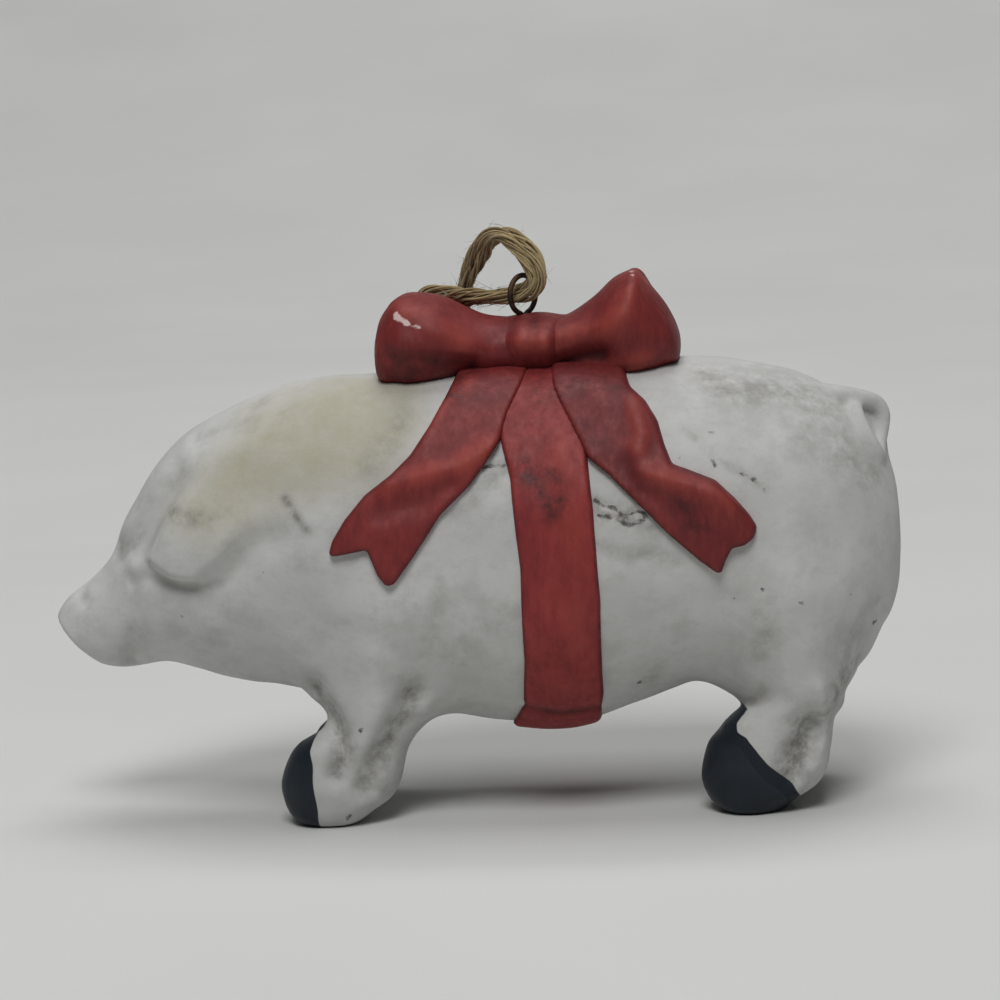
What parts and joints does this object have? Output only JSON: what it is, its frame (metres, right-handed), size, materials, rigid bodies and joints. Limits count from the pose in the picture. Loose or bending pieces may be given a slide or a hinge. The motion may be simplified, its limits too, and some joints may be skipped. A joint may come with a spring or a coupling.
{
  "type": "pig figurine ornament",
  "caption": "Hollow bisque pig ornament standing on four feet, with a moulded red ribbon and bow, dark hooves, and a twine hanging loop in a wire eye.",
  "frame": {"origin": "on the standing surface, under the middle of the figure's length and width, without the twine", "axes": "snout toward -X, near flank toward -Y, up +Z"},
  "size_m": [0.1014, 0.0435, 0.0684],
  "materials": {
    "bisque": "matt unglazed bisque",
    "red_paint": "matt hand-painted bisque",
    "hoof_paint": "matt hand-painted bisque",
    "wire": "oxidised wire",
    "jute": "twisted jute twine"
  },
  "bodies": {
    "figure": {"body_near_half": "bisque", "body_far_half": "bisque", "tail": "bisque", "ear_near": "bisque", "ear_far": "bisque", "leg_front_near": "bisque", "leg_front_far": "bisque", "leg_hind_near": "bisque", "leg_hind_far": "bisque", "bow_knot": "red_paint", "bow_loop_front": "red_paint", "bow_loop_rear": "red_paint", "ribbon_band": "red_paint", "ribbon_end_front_near": "red_paint", "ribbon_end_front_far": "red_paint", "ribbon_end_rear_near": "red_paint", "ribbon_end_rear_far": "red_paint", "hoof_front_near": "hoof_paint", "hoof_front_far": "hoof_paint", "hoof_hind_near": "hoof_paint", "hoof_hind_far": "hoof_paint", "hanger_eye": "wire"},
    "hanger": {"hanger_cord": "jute", "hanger_knot": "jute"}
  },
  "joints": [
    {"name": "hanger_swing", "type": "hinge", "parent": "figure", "child": "hanger", "pos_m": [0.00765, 0, 0.0607], "axis": [0.809, -0.5878, 0], "range_deg": [0, 60]}
  ]
}
